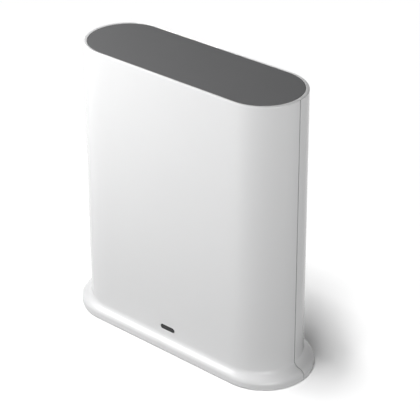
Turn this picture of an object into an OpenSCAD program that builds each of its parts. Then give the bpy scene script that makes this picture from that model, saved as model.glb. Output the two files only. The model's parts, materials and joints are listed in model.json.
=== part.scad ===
// Base station for wireless security cameras: an obround tower on a flanged foot.
// Millimetres, +Z up. The front faces -Y, and the origin lies under the middle of the foot pads.

/* [Body] */
// Height from the table to the top face
body_h = 152.4; // [140:0.2:190]
// Distance between the centres of the two round ends
end_span = 85; // [80:0.5:110]
// Depth of the body at the top, front to back
body_depth = 42.5; // [40:0.5:54]
// How much further each side stands out at the foot than at the top
side_draft = 1.55; // [0.5:0.05:2.5]
// Thickness of the shell walls
wall = 2.2; // [1.8:0.1:2.8]
// Rounding of the rim's outer edge
rim_round = 0.6; // [0.2:0.1:0.8]
// Width of the groove where the two shells meet
seam_w = 0.4; // [0.2:0.05:0.8]
// Depth of that groove
seam_d = 0.7; // [0.3:0.1:1.2]
// Length of the lip that lines up the shells behind the groove
lip_len = 2.6; // [1.6:0.2:4]
// Thickness of that lip
lip_t = 1.2; // [0.8:0.1:1.6]

/* [Foot] */
// How far the flange stands out in front and behind
flange_side = 3.2; // [2.4:0.1:5]
// How far the flange stands out past the round ends
flange_end = 6; // [4:0.1:9]
// Height of the flange
flange_h = 5.4; // [5:0.1:6]
// Rounding of the flange's upper edge
flange_round = 3; // [2.6:0.1:3.4]
// Radius of the hollow sweep from the flange into the body
sweep_r = 3.6; // [3.2:0.1:4.4]
// Thickness of the base plate
base_t = 1.8; // [1.6:0.1:2.2]
// Width of the flange's underside around the base plate
base_inset = 2.6; // [2:0.1:2.9]
// Length of a foot pad
pad_len = 16; // [10:0.5:18]
// Width of a foot pad
pad_w = 7; // [5:0.5:8]
// How far the pads stand below the base plate
pad_proud = 0.6; // [0.4:0.1:1.5]
// How deep the pads are set into the base plate
pad_inset = 0.8; // [0.4:0.1:1]
// Distance of the pads from the ends of the base plate
pad_end = 8.7; // [4:0.1:9]
// Distance of the pads' centres from the middle, front to back
pad_y = 10; // [8:0.5:11]
// Width of a slot in the base plate
base_slot_w = 2; // [1.2:0.1:3]
// Length of a slot in the base plate
base_slot_len = 24; // [12:1:26]
// Number of slots in the base plate
base_slots = 9; // [3:2:9]
// Distance between neighbouring slots in the base plate
base_slot_pitch = 6; // [4:0.5:6.5]

/* [Top panel] */
// Width of the white rim along the long sides
rim_side = 1.15; // [1:0.05:1.5]
// Width of the white rim at the round ends
rim_end = 2.05; // [1.6:0.05:2.6]
// Thickness of the top panel
panel_t = 2; // [1.4:0.1:3]
// Gap all round the top panel
panel_gap = 0.15; // [0.05:0.05:0.3]
// Width of a clip leg
clip_w = 8; // [5:0.5:12]
// Thickness of a clip leg
clip_t = 1.4; // [1:0.1:2]
// Length of a clip leg
clip_len = 8; // [6:0.5:12]
// How far a clip's barb reaches into its pocket
clip_barb = 0.9; // [0.6:0.1:1.1]
// Distance between neighbouring clips
clip_pitch = 30; // [20:1:34]

/* [Light window] */
// Width of the window
window_w = 9.3; // [6:0.1:14]
// Height of the window
window_h = 2.7; // [2:0.1:4]
// Place of the window's middle to the right of the body's middle
window_x = 1; // [-4:0.5:4]
// Height of the window's middle above the table
window_z = 12; // [11.5:0.1:16]

/* [Port bay] */
// Width of the bay in the back
bay_w = 64; // [58:0.5:68]
// Height of the bay
bay_h = 24; // [20:0.5:28]
// Height of the bay's middle above the table
bay_z = 34; // [33.5:0.5:36]
// Depth of the bay
bay_depth = 5; // [4.6:0.1:7]
// Rounding of the bay's corners
bay_round = 4; // [2:0.5:6]
// Thickness of the bay's walls
bay_wall = 1.8; // [1.2:0.1:2.4]
// Width of the ledge that carries the port panel
bay_ledge = 2; // [1:0.1:2.4]
// Thickness of the port panel
port_panel_t = 1.6; // [1:0.1:2.4]
// Gap around each jack in the port panel
jack_gap = 0.25; // [0.1:0.05:0.5]
// Height of the jacks above the board
jack_h = 14.6; // [13:0.1:16]
// Diameter of the reset pinhole
pinhole_d = 1.5; // [1.2:0.1:2]

/* [Power jack] */
// Diameter of the barrel hole
barrel_d = 5.7; // [5.6:0.1:6]
// Depth of the barrel hole
barrel_deep = 9.6; // [8:0.1:10.5]
// Diameter of the centre pin
pin_d = 2.1; // [2:0.1:2.5]
// Outer diameter of the jack
power_d = 9.2; // [8.4:0.1:9.8]

/* [LAN jack] */
// Width of the jack
lan_w = 16; // [15.5:0.1:16.6]
// Height of the jack
lan_h = 13.6; // [13.4:0.1:14.4]
// Width of the plug opening
plug_w = 11.9; // [11.7:0.1:12.2]
// Height of the plug opening, without its latch notch
plug_h = 6.9; // [6.6:0.1:7.2]
// Depth of the plug opening
plug_deep = 12; // [10:0.1:12.6]
// Distance between neighbouring contacts
contact_pitch = 1.02; // [0.9:0.02:1.2]
// Thickness of the sheet metal of the LAN and USB shields
sheet_t = 0.3; // [0.2:0.05:0.4]

/* [USB socket] */
// Width of the socket's shell
usb_w = 13.2; // [12.8:0.1:13.8]
// Height of the socket's shell
usb_h = 5.8; // [5.6:0.1:6.2]
// Thickness of the tongue
tongue_t = 1.84; // [1.6:0.02:2]

/* [Buttons] */
// Width of the sync button
button_w = 14; // [9:0.5:18]
// Height of the sync button
button_h = 7; // [5:0.5:9]
// Height of the button's middle above the table
button_z = 64; // [62:0.5:80]
// How far the button stands out of the back
button_proud = 0.8; // [0.4:0.1:1.5]
// Gap around the button
button_gap = 0.3; // [0.2:0.05:0.5]
// Travel of the sync button
sync_travel = 0.6; // [0.3:0.05:0.9]
// Travel of the reset plunger
reset_travel = 0.3; // [0.2:0.05:0.5]
// Side of a push switch's square body
switch_w = 6; // [5:0.1:6.4]
// Height of a push switch's body
switch_h = 3.5; // [3.2:0.1:5]
// Diameter of a switch's plunger
plunger_d = 3.2; // [2.4:0.1:3.4]

/* [Vents] */
// Number of vent slots in the back
vents = 11; // [5:2:13]
// Width of a vent slot
vent_w = 2.2; // [1.2:0.1:3]
// Length of a vent slot
vent_len = 24; // [10:1:26]
// Distance between neighbouring vent slots
vent_pitch = 5; // [3.6:0.1:5.4]
// Height of the vents' middle above the table
vent_z = 114; // [108:1:118]

/* [Board] */
// Width of the main board
board_w = 100; // [96:0.5:102]
// Height of the main board
board_h = 118; // [114:0.5:122]
// Height of the board's lower edge above the table
board_z = 8; // [6.5:0.1:9.5]
// Thickness of the board
board_t = 1.6; // [1:0.1:2]
// Distance of the board's screws from its upright edges
board_screw_side = 9; // [8:0.5:10.5]
// Height of the lower board screws above the board's lower edge
board_screw_low = 18; // [12:0.5:22]
// Depth of the upper board screws below the board's upper edge
board_screw_top = 10; // [8:0.5:30]
// Edge of the square heat sink
sink_w = 46; // [40:0.5:48]
// Height of the heat sink's fins
fin_h = 9; // [4:0.5:10]
// Thickness of a fin
fin_t = 1.2; // [0.8:0.1:1.6]
// Number of fins
fins = 9; // [5:2:11]
// Width of an antenna
antenna_w = 12; // [8:0.5:14]
// Height of an antenna
antenna_h = 44; // [30:1:46]
// Thickness of an antenna
antenna_t = 0.8; // [0.6:0.1:1.2]
// Distance of an antenna from the end wall behind it
antenna_inset = 4; // [3.6:0.1:5]
// Distance of the antennas below the top panel
antenna_drop = 20.4; // [16:0.2:26]
// Diameter of an antenna's lead
lead_d = 1.2; // [0.8:0.1:1.6]

/* [Screws] */
// Diameter of the screws' shanks
screw_d = 2.4; // [2:0.1:2.8]
// Diameter of the screws' heads
head_d = 4.6; // [4:0.1:5]
// Height of the screws' heads
head_h = 1.6; // [1.2:0.1:1.9]
// Length of the screws under their heads
screw_len = 9; // [7:0.5:11]
// Wall around a screw hole
boss_wall = 1.8; // [1.2:0.1:2.2]
// Distance of the base screws from the centres of the round ends, towards the middle
base_screw_inset = 4.5; // [4:0.5:8]
// Distance of the base screws from the middle, front to back
base_screw_y = 13; // [12:0.5:13.5]

/* [Hidden] */
$fn = 64;

// A rounding meets its face at this small angle, which keeps the edge between them clean
meet_angle = 4;
meet = cos(meet_angle);
// Play between pieces that are pushed together, and between a piece and the hole it goes through
snug = 0.05;
play = 0.1;
slack = 0.3;
// A cut reaches this far past the face that it opens
over = 1;

// Half the straight run of the body, and the plan radius of its outside and inside at a height
half_l = end_span / 2;
function r_out(z) = body_depth / 2 + side_draft * (1 - z / body_h);
function r_in(z) = r_out(z) - wall;
function r_mid(z) = r_out(z) - wall / 2;

// Foot: underside, top of the flange, and the plan of the flange and the base plate
foot_z = pad_proud;
flange_z = foot_z + flange_h;
flange_r = r_out(foot_z) + flange_side;
flange_l = half_l + r_out(foot_z) + flange_end - flange_r;
base_r = flange_r - base_inset;
base_top = foot_z + base_t;
pad_x = flange_l + base_r - pad_end - pad_len / 2;
base_screw_x = half_l - base_screw_inset;

// Top panel: its plan, its underside and its clips
panel_r = body_depth / 2 - rim_side;
panel_l = half_l + body_depth / 2 - rim_end - panel_r;
panel_z = body_h - panel_t;
clip_y = r_in(body_h) - slack;
clip_z = panel_z - clip_len;
barb_h = 2;
clip_xs = [-clip_pitch, 0, clip_pitch];
lip_gap = 2;

// Screws: their holes, heads, and the cups of the base plate that hold the heads
screw_hole_d = screw_d + 2 * snug;
boss_r = screw_hole_d / 2 + boss_wall;
head_hole_d = head_d + 2 * slack;
cup_floor = 1.2;
cup_wall = 1;
cup_z = foot_z + head_h + slack + cup_floor;
cup_r = head_hole_d / 2 + cup_wall;
tip_room = 1;
boss_end = 1;
boss_len = screw_len - cup_floor + tip_room + boss_end;
rib_t = 1.6;
recess_w = 0.75;
recess_len = 2.6;
recess_deep = 0.8;

// Back: the bay's floor, the board behind it, and the wall at the sync button
port_y = r_out(bay_z) - bay_depth;
ledge_y = port_y - port_panel_t;
board_y = port_y - jack_h;
board_front = board_y - board_t;
board_round = 2;
board_screw_x = board_w / 2 - board_screw_side;
screw_low_z = board_z + board_screw_low;
screw_high_z = board_z + board_h - board_screw_top;
board_screw_zs = [screw_low_z, screw_high_z];
button_in = r_in(button_z);
button_out = r_out(button_z);
button_flange_t = 1.2;
button_flange_rim = 1.6;
stem_d = 4.4;

// Push switches: the well in the body, and how far a plunger stands out of it at rest
well_floor = 1.2;
plunger_proud = 1.2;

// Light pipe and the light behind it
light_w = 3.2;
light_h = 2;
light_t = 1.2;
pipe_flange_rim = 1.6;
pipe_flange_t = 1.2;
pipe_taper = 0.25;

// LAN jack: the plug opening's ceiling, its latch notch in two steps and the contacts' spring shape
lan_frame = 1.75;
lan_ceiling = bay_z + lan_h / 2 - lan_frame;
notch_w = 6.2;
notch_h = (lan_h - plug_h) / 2 - lan_frame;
contact_w = 0.45;
contact_t = 0.3;
contact_drop = 2.2;
contact_seat = 2;
contact_back = 2.5;
contact_len = plug_deep - contact_back - contact_seat;
contacts = 8;

// USB socket: rounding, tongue and contacts
usb_round = 0.8;
tongue_lift = 0.9;
tongue_side = 0.75;
tongue_back = 5;
tongue_recess = 0.8;
usb_contact_w = 1;
usb_contact_t = 0.25;
usb_contact_len = 6.5;
usb_contact_back = 1;
usb_contact_xs = [-3.5, -1, 1, 3.5];

// Power jack: foot on the board, and the pin's socket behind the barrel hole
power_foot = 10;
power_foot_t = 5;
pin_root = 2;
pin_root_d = 1.4;
pin_recess = 1;

// Places of the ports along the bay: power, LAN, USB and reset, with equal gaps between them
ports = 4;
port_gap = (bay_w - 2 * bay_ledge - power_foot - lan_w - usb_w - switch_w) / (ports + 1);
power_x = bay_w / 2 - bay_ledge - port_gap - power_foot / 2;
lan_x = power_x - power_foot / 2 - port_gap - lan_w / 2;
usb_x = lan_x - lan_w / 2 - port_gap - usb_w / 2;
reset_x = usb_x - usb_w / 2 - port_gap - switch_w / 2;

// Parts on the front of the board
chip_w = 17;
chip_t = 1.4;
pad_t = 1;
sink_base = 3;
sink_x = -14;
sink_z = 84;
sink_y = board_front - chip_t - pad_t;
sink_pin_d = 3;
sink_pin_edge = 3.6;
sink_pin_head = 5.6;
sink_pin_head_t = 1.6;
sink_pin_tail = 2.4;
fin_clear = 0.5;
fin_field = sink_w - 2 * (sink_pin_edge + sink_pin_head / 2 + fin_clear);
memory_w = 9;
memory_h = 13;
memory_t = 1.1;
memory_z = 46;
memory_xs = [-22, -8];

// Parts on the back of the board
transformer_w = 15;
transformer_h = 8;
transformer_t = 5;
transformer_gap = 2;
capacitor_d = 8;
capacitor_len = 11;
capacitor_spots = [[24, 58], [34, 58], [34, 69]];
inductor_w = 7;
inductor_t = 4.5;
inductor_round = 1;
inductor_spots = [[22, 69], [22, 79]];

// Antennas in the round ends, and the route of their leads from the board
antenna_z = panel_z - antenna_drop - antenna_h;
antenna_mid = antenna_z + antenna_h / 2;
antenna_x = half_l + r_in(antenna_mid) - antenna_inset;
holder_t = 3.2;
holder_h = 4;
holder_grip = 2;
holder_edge = 6;
holder_low_z = antenna_z + holder_edge;
holder_high_z = antenna_z + antenna_h - holder_edge;
holder_zs = [holder_low_z, holder_high_z];
lead_plug_d = 2.8;
lead_plug_t = 1.5;
lead_plug_side = 8;
lead_bend = 3;
lead_entry = 4;
lead_run = 20;
plug_spot_x = board_w / 2 - lead_plug_side;
lead_rise_x = round((plug_spot_x + antenna_x) / 2);
lead_end_z = antenna_z + lead_entry;
plug_spot_z = lead_end_z - lead_run;
lead_y = board_front - lead_plug_t / 2;

// Radio can: it fills the board between the heat sink and the right lead's plug
radio_gap = 2;
radio_plug_gap = 5;
radio_left = sink_x + sink_w / 2 + radio_gap;
radio_right = plug_spot_x - radio_plug_gap;
radio_x = (radio_left + radio_right) / 2;
radio_w = radio_right - radio_left;
radio_z = 62;
radio_h = 24;
radio_t = 2.8;

// Colours
shell_white = [0.94, 0.94, 0.94];
panel_grey = [0.36, 0.37, 0.38];
black_plastic = [0.08, 0.08, 0.09];
smoked = [0.2, 0.2, 0.21];
steel = [0.75, 0.76, 0.78];
gold = [0.85, 0.68, 0.3];
rubber_grey = [0.22, 0.22, 0.23];
board_green = [0.1, 0.32, 0.2];
aluminium = [0.82, 0.83, 0.85];
lens_yellow = [0.9, 0.9, 0.8];
pad_blue = [0.6, 0.65, 0.75];
can_blue = [0.3, 0.33, 0.4];
coil_grey = [0.25, 0.25, 0.26];

// Outlines and sweeps

// Obround of two round ends around a straight run, in plan
module obround(half, r) {
    square([2 * half, 2 * r], center = true);
    for (side = [-1, 1])
        translate([side * half, 0])
            circle(r);
}

// Obround given by its overall width and height, lying along X or standing up
module pill(w, h) {
    if (w >= h)
        obround((w - h) / 2, h / 2);
    else
        rotate(90)
            obround((h - w) / 2, w / 2);
}

// Rectangle with round corners, about its middle
module round_rect(w, h, r) {
    square([w - 2 * r, h], center = true);
    square([w, h - 2 * r], center = true);
    for (sx = [-1, 1], sz = [-1, 1])
        translate([sx * (w / 2 - r), sz * (h / 2 - r)])
            circle(r);
}

// What is cut off an upper outer corner at the origin to round it
module corner_cut(r) {
    translate([-r * meet, -r * meet])
        difference() {
            square(r + over);
            circle(r);
        }
}

// Extrudes an outline drawn in X and Z from y0 back to y1
module along_y(y0, y1) {
    translate([0, y1, 0])
        rotate([90, 0, 0])
            linear_extrude(y1 - y0)
                children();
}

// Sweeps a section, drawn as distance from the middle and height, round the front half of an obround plan
module front_sweep(half) {
    translate([half, 0, 0])
        rotate([0, 0, -90])
            rotate_extrude(angle = 90)
                children();
    translate([-half, 0, 0])
        rotate([0, 0, 180])
            rotate_extrude(angle = 90)
                children();
    rotate([90, 0, -90])
        linear_extrude(2 * half, center = true)
            children();
}

// Shells

// Section of the side wall, with the hollow sweep at its foot and the round rim. The sweep's arc
// touches the wall and, in front and behind, the rounding of the flange.
module wall_section() {
    round_x = flange_r - flange_round * meet;
    round_z = flange_z - flange_round * meet;
    sweep_x = r_out(flange_z + sweep_r) + sweep_r * meet;
    reach = (flange_round + sweep_r) * meet;
    sweep_z = round_z + sqrt(pow(reach, 2) - pow(sweep_x - round_x, 2));
    touch_x = round_x + (sweep_x - round_x) * flange_round / (flange_round + sweep_r);
    difference() {
        union() {
            polygon([
                [r_in(foot_z), foot_z],
                [r_out(foot_z), foot_z],
                [r_out(body_h), body_h],
                [r_in(body_h), body_h]
            ]);
            difference() {
                translate([r_mid(foot_z), foot_z])
                    square([touch_x - r_mid(foot_z), sweep_z - foot_z]);
                translate([sweep_x, sweep_z])
                    circle(sweep_r);
            }
        }
        translate([r_out(body_h), body_h])
            corner_cut(rim_round);
    }
}

// Section of the flange, solid to the middle
module flange_section() {
    difference() {
        translate([0, foot_z])
            square([flange_r, flange_h]);
        translate([flange_r, flange_z])
            corner_cut(flange_round);
    }
}

// The space inside the wall's middle line, which bosses and ribs are trimmed to
module front_core() {
    front_sweep(half_l)
        polygon([
            [0, base_top],
            [r_mid(base_top), base_top],
            [r_mid(panel_z), panel_z],
            [0, panel_z]
        ]);
}

// The hollow below the side wall, down through the flange
module front_hollow() {
    front_sweep(half_l)
        polygon([
            [0, foot_z - over],
            [r_in(foot_z - over), foot_z - over],
            [r_in(flange_z + over), flange_z + over],
            [0, flange_z + over]
        ]);
}

// Half of the outer housing, with its flange, before anything is cut into it
module front_half() {
    front_sweep(half_l)
        wall_section();
    difference() {
        front_sweep(flange_l)
            flange_section();
        front_hollow();
    }
}

// Seats for the base plate and the top panel, the clips' pockets and the groove at the seam
module shell_cuts() {
    translate([0, 0, foot_z - over])
        linear_extrude(base_t + over)
            obround(flange_l, base_r + play);
    translate([0, 0, panel_z])
        linear_extrude(panel_t + over)
            obround(panel_l, panel_r + panel_gap);
    for (x = clip_xs)
        translate([x - clip_w / 2 - slack, -clip_y - clip_barb - slack, clip_z - slack])
            cube([clip_w + 2 * slack, clip_barb + clip_t, barb_h + 2 * slack]);
    for (side = [-1, 1])
        scale([side, 1, 1])
            along_y(-seam_w / 2, over)
                polygon([
                    [half_l + r_out(foot_z) - seam_d, foot_z - over],
                    [half_l + flange_r + flange_end, foot_z - over],
                    [half_l + flange_r + flange_end, body_h + over],
                    [half_l + r_out(body_h) - seam_d, body_h + over]
                ]);
}

// Bosses for the base screws, tied to the wall by ribs
module base_bosses() {
    for (side = [-1, 1]) {
        translate([side * base_screw_x, -base_screw_y, cup_z])
            cylinder(r = boss_r, h = boss_len);
        translate([side * base_screw_x - rib_t / 2, -r_out(0), cup_z])
            cube([rib_t, r_out(0) - base_screw_y, boss_len]);
    }
}

module base_screw_holes() {
    for (side = [-1, 1])
        translate([side * base_screw_x, -base_screw_y, cup_z - over])
            cylinder(d = screw_hole_d, h = boss_len - boss_end + over);
}

module front_shell() {
    color(shell_white)
        difference() {
            union() {
                front_half();
                intersection() {
                    front_core();
                    base_bosses();
                }
            }
            shell_cuts();
            base_screw_holes();
            along_y(-r_out(0) - over, 0)
                translate([window_x, window_z])
                    pill(window_w, window_h);
        }
}

// Lip at one seam: fixed to the rear shell, it reaches in behind the front one
module seam_lip(side) {
    low = cup_z + boss_len;
    high = clip_z - lip_gap;
    turn = asin(lip_len / r_in(low));
    translate([side * half_l, 0, 0])
        rotate([0, 0, side > 0 ? 0 : 180 - turn]) {
            rotate([0, 0, side > 0 ? -turn : 0])
                rotate_extrude(angle = 2 * turn)
                    polygon([
                        [r_in(low) - play - lip_t, low],
                        [r_in(low) - play, low],
                        [r_in(high) - play, high],
                        [r_in(high) - play - lip_t, high]
                    ]);
            rotate_extrude(angle = turn)
                polygon([
                    [r_in(low) - play - lip_t, low],
                    [r_mid(low), low],
                    [r_mid(high), high],
                    [r_in(high) - play - lip_t, high]
                ]);
        }
}

// Holders with a slot for the edge of each antenna
module antenna_holders() {
    for (side = [-1, 1], z = holder_zs)
        translate([side * antenna_x - holder_t / 2, antenna_w / 2 - holder_grip, z - holder_h / 2])
            cube([holder_t, r_out(0), holder_h]);
}

module antenna_slots() {
    for (side = [-1, 1])
        translate([side * antenna_x - antenna_t / 2 - play, 0, antenna_z - play])
            cube([antenna_t + 2 * play, antenna_w / 2 + play, antenna_h + 2 * play]);
}

module rear_shell() {
    color(shell_white)
        difference() {
            union() {
                rotate([0, 0, 180])
                    front_half();
                intersection() {
                    rotate([0, 0, 180])
                        front_core();
                    union() {
                        rotate([0, 0, 180])
                            base_bosses();
                        along_y(ledge_y - bay_wall, r_out(0))
                            translate([0, bay_z])
                                round_rect(bay_w + 2 * bay_wall, bay_h + 2 * bay_wall, bay_round + bay_wall);
                        for (side = [-1, 1], z = board_screw_zs)
                            along_y(board_y, r_out(0))
                                translate([side * board_screw_x, z])
                                    circle(boss_r);
                        antenna_holders();
                    }
                }
                for (side = [-1, 1])
                    seam_lip(side);
            }
            rotate([0, 0, 180])
                shell_cuts();
            rotate([0, 0, 180])
                base_screw_holes();
            along_y(ledge_y, r_out(0) + over)
                translate([0, bay_z])
                    round_rect(bay_w, bay_h, bay_round);
            along_y(ledge_y - bay_wall - over, ledge_y + over)
                translate([0, bay_z])
                    square([bay_w - 2 * bay_ledge, bay_h - 2 * bay_ledge], center = true);
            for (side = [-1, 1], z = board_screw_zs)
                along_y(board_y - over, board_y + screw_len - board_t + tip_room)
                    translate([side * board_screw_x, z])
                        circle(d = screw_hole_d);
            antenna_slots();
            along_y(button_in - over, r_out(0) + over)
                translate([0, button_z])
                    pill(button_w + 2 * button_gap, button_h + 2 * button_gap);
            along_y(0, r_out(0) + over)
                for (i = [0 : vents - 1])
                    translate([(i - (vents - 1) / 2) * vent_pitch, vent_z])
                        pill(vent_w, vent_len);
        }
}

// Flat top, with barbed legs that clip into both shells
module top_panel() {
    color(panel_grey) {
        translate([0, 0, panel_z])
            linear_extrude(panel_t)
                obround(panel_l, panel_r);
        for (turn = [0, 180], x = clip_xs)
            rotate([0, 0, turn])
                translate([x - clip_w / 2, 0, 0])
                    rotate([90, 0, 90])
                        linear_extrude(clip_w)
                            polygon([
                                [clip_y - clip_t, panel_z + panel_t / 2],
                                [clip_y, panel_z + panel_t / 2],
                                [clip_y, clip_z + barb_h],
                                [clip_y + clip_barb, clip_z + barb_h],
                                [clip_y, clip_z],
                                [clip_y - clip_t, clip_z]
                            ]);
    }
}

// Smoked pipe from the board's light to the window, with a flange behind the wall
module light_pipe() {
    face = -r_out(window_z) + snug;
    seat = -r_in(window_z) + play;
    color(smoked) {
        along_y(face, seat + pipe_flange_t / 2)
            translate([window_x, window_z])
                pill(window_w - 2 * play, window_h - 2 * play);
        along_y(seat, seat + pipe_flange_t)
            translate([window_x, window_z])
                pill(window_w + 2 * pipe_flange_rim, window_h + 2 * pipe_flange_rim);
        along_y(seat + pipe_flange_t / 2, board_front - light_t - slack)
            translate([window_x, window_z])
                pill(window_w * (1 - pipe_taper), window_h);
    }
}

// Foot

module base_plate() {
    color(shell_white)
        difference() {
            union() {
                translate([0, 0, foot_z])
                    linear_extrude(base_t)
                        obround(flange_l, base_r);
                for (sx = [-1, 1], sy = [-1, 1])
                    translate([sx * base_screw_x, sy * base_screw_y, foot_z])
                        cylinder(r = cup_r, h = cup_z - foot_z);
            }
            for (sx = [-1, 1], sy = [-1, 1]) {
                translate([sx * base_screw_x, sy * base_screw_y, foot_z - over]) {
                    cylinder(d = head_hole_d, h = cup_z - cup_floor - foot_z + over);
                    cylinder(d = screw_hole_d, h = cup_z - foot_z + 2 * over);
                }
                translate([sx * pad_x, sy * pad_y, foot_z - over])
                    linear_extrude(pad_inset + over)
                        pill(pad_len + 2 * play, pad_w + 2 * play);
            }
            translate([0, 0, foot_z - over])
                linear_extrude(base_t + 2 * over)
                    for (i = [0 : base_slots - 1])
                        translate([(i - (base_slots - 1) / 2) * base_slot_pitch, 0])
                            pill(base_slot_w, base_slot_len);
        }
}

module foot_pads() {
    color(rubber_grey)
        for (sx = [-1, 1], sy = [-1, 1])
            translate([sx * pad_x, sy * pad_y, 0])
                linear_extrude(pad_proud + pad_inset)
                    pill(pad_len, pad_w);
}

// Screw with a flat head under the origin, its shank up from there, and a cross recess in the head
module screw() {
    difference() {
        union() {
            translate([0, 0, -head_h])
                cylinder(d = head_d, h = head_h);
            cylinder(d = screw_d, h = screw_len);
        }
        for (turn = [0, 90])
            rotate([0, 0, turn])
                translate([-recess_len / 2, -recess_w / 2, -head_h - over])
                    cube([recess_len, recess_w, over + recess_deep]);
    }
}

module base_screws() {
    color(steel)
        for (sx = [-1, 1], sy = [-1, 1])
            translate([sx * base_screw_x, sy * base_screw_y, cup_z - cup_floor])
                screw();
}

// Ports

// Outline of the LAN plug opening, with its latch notch below
module plug_opening() {
    translate([lan_x - plug_w / 2, lan_ceiling - plug_h])
        square([plug_w, plug_h]);
    translate([lan_x - notch_w / 2, lan_ceiling - plug_h - notch_h])
        square([notch_w, notch_h + over]);
    translate([lan_x - notch_w / 4, lan_ceiling - plug_h - 2 * notch_h])
        square([notch_w / 2, 2 * notch_h]);
}

module port_panel() {
    color(panel_grey)
        difference() {
            along_y(ledge_y, port_y)
                translate([0, bay_z])
                    round_rect(bay_w - 2 * play, bay_h - 2 * play, bay_round - play);
            along_y(ledge_y - over, port_y + over) {
                translate([lan_x, bay_z])
                    square([lan_w + 2 * jack_gap, lan_h + 2 * jack_gap], center = true);
                translate([usb_x, bay_z])
                    round_rect(usb_w + 2 * jack_gap, usb_h + 2 * jack_gap, usb_round + jack_gap);
                translate([power_x, bay_z])
                    circle(d = power_d + 2 * jack_gap);
                translate([reset_x, bay_z])
                    circle(d = pinhole_d);
            }
        }
}

module power_jack() {
    color(black_plastic)
        difference() {
            union() {
                along_y(board_y, board_y + power_foot_t)
                    translate([power_x, bay_z])
                        square(power_foot, center = true);
                along_y(board_y, port_y)
                    translate([power_x, bay_z])
                        circle(d = power_d);
            }
            along_y(port_y - barrel_deep, port_y + over)
                translate([power_x, bay_z])
                    circle(d = barrel_d);
            along_y(port_y - barrel_deep - pin_root, port_y)
                translate([power_x, bay_z])
                    circle(d = pin_root_d + 2 * snug);
        }
}

// Centre pin with a round tip, its shoulder on the floor of the barrel hole
module power_pin() {
    tip = port_y - pin_recess - pin_d / 2;
    floor_y = port_y - barrel_deep;
    color(steel) {
        along_y(floor_y - pin_root, tip)
            translate([power_x, bay_z])
                circle(d = pin_root_d);
        along_y(floor_y, tip)
            translate([power_x, bay_z])
                circle(d = pin_d);
        translate([power_x, tip, bay_z])
            sphere(d = pin_d);
    }
}

module lan_shield() {
    color(steel) {
        along_y(board_y, port_y)
            translate([lan_x, bay_z])
                difference() {
                    square([lan_w, lan_h], center = true);
                    square([lan_w - 2 * sheet_t, lan_h - 2 * sheet_t], center = true);
                }
        along_y(port_y - sheet_t, port_y)
            difference() {
                translate([lan_x, bay_z])
                    square([lan_w - sheet_t, lan_h - sheet_t], center = true);
                plug_opening();
            }
    }
}

module lan_insert() {
    color(black_plastic)
        difference() {
            along_y(board_y, port_y - sheet_t - snug)
                translate([lan_x, bay_z])
                    square([lan_w - 2 * sheet_t - 2 * snug, lan_h - 2 * sheet_t - 2 * snug], center = true);
            along_y(port_y - plug_deep, port_y)
                plug_opening();
        }
}

// Spring contacts, each flat against the opening's ceiling and then bent down into it
module lan_contacts() {
    front = port_y - contact_back;
    bend = front - contact_seat;
    color(gold)
        for (i = [0 : contacts - 1])
            translate([lan_x + (i - (contacts - 1) / 2) * contact_pitch - contact_w / 2, 0, 0])
                rotate([90, 0, 90])
                    linear_extrude(contact_w)
                        polygon([
                            [front, lan_ceiling],
                            [bend, lan_ceiling],
                            [bend - contact_len, lan_ceiling - contact_drop],
                            [bend - contact_len, lan_ceiling - contact_drop - contact_t],
                            [bend, lan_ceiling - contact_t],
                            [front, lan_ceiling - contact_t]
                        ]);
}

module usb_shell() {
    color(steel)
        along_y(board_y, port_y)
            translate([usb_x, bay_z])
                difference() {
                    round_rect(usb_w, usb_h, usb_round);
                    round_rect(usb_w - 2 * sheet_t, usb_h - 2 * sheet_t, usb_round - sheet_t);
                }
}

// Moulded back that fills the shell, with the tongue in front of it
module usb_tongue() {
    inner_w = usb_w - 2 * sheet_t - 2 * snug;
    inner_h = usb_h - 2 * sheet_t - 2 * snug;
    color(black_plastic) {
        along_y(board_y, board_y + tongue_back)
            translate([usb_x, bay_z])
                round_rect(inner_w, inner_h, usb_round - sheet_t);
        along_y(board_y + tongue_back / 2, port_y - tongue_recess)
            translate([usb_x, bay_z + tongue_lift])
                square([inner_w - 2 * tongue_side, tongue_t], center = true);
    }
}

module usb_contacts() {
    under = bay_z + tongue_lift - tongue_t / 2;
    color(gold)
        for (x = usb_contact_xs)
            translate([
                usb_x + x - usb_contact_w / 2,
                port_y - tongue_recess - usb_contact_back - usb_contact_len,
                under - usb_contact_t
            ])
                cube([usb_contact_w, usb_contact_len, usb_contact_t]);
}

// Buttons

// Body of a push switch on the board, with the well its plunger slides in
module switch_body(x, z) {
    color(black_plastic)
        difference() {
            along_y(board_y, board_y + switch_h)
                translate([x, z])
                    square(switch_w, center = true);
            along_y(board_y + well_floor, board_y + switch_h + over)
                translate([x, z])
                    circle(d = plunger_d + 2 * slack);
        }
}

module sync_switch() {
    switch_body(0, button_z);
}

module reset_switch() {
    switch_body(reset_x, bay_z);
}

module sync_plunger() {
    color(smoked)
        along_y(board_y + well_floor + sync_travel + slack, board_y + switch_h + plunger_proud)
            translate([0, button_z])
                circle(d = plunger_d);
}

// Long plunger that ends just behind the pinhole
module reset_plunger() {
    color(smoked)
        along_y(board_y + well_floor + reset_travel + slack, ledge_y - slack)
            translate([reset_x, bay_z])
                circle(d = plunger_d);
}

// Button through the back wall, kept in by its flange, with a stem down to its switch
module sync_button() {
    flange_y = button_in - slack;
    color(panel_grey) {
        along_y(flange_y - button_flange_t / 2, button_out + button_proud)
            translate([0, button_z])
                pill(button_w, button_h);
        along_y(flange_y - button_flange_t, flange_y)
            translate([0, button_z])
                pill(button_w + 2 * button_flange_rim, button_h + 2 * button_flange_rim);
        along_y(board_y + switch_h + plunger_proud, flange_y - button_flange_t / 2)
            translate([0, button_z])
                circle(d = stem_d);
    }
}

// Board and what stands on it

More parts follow.
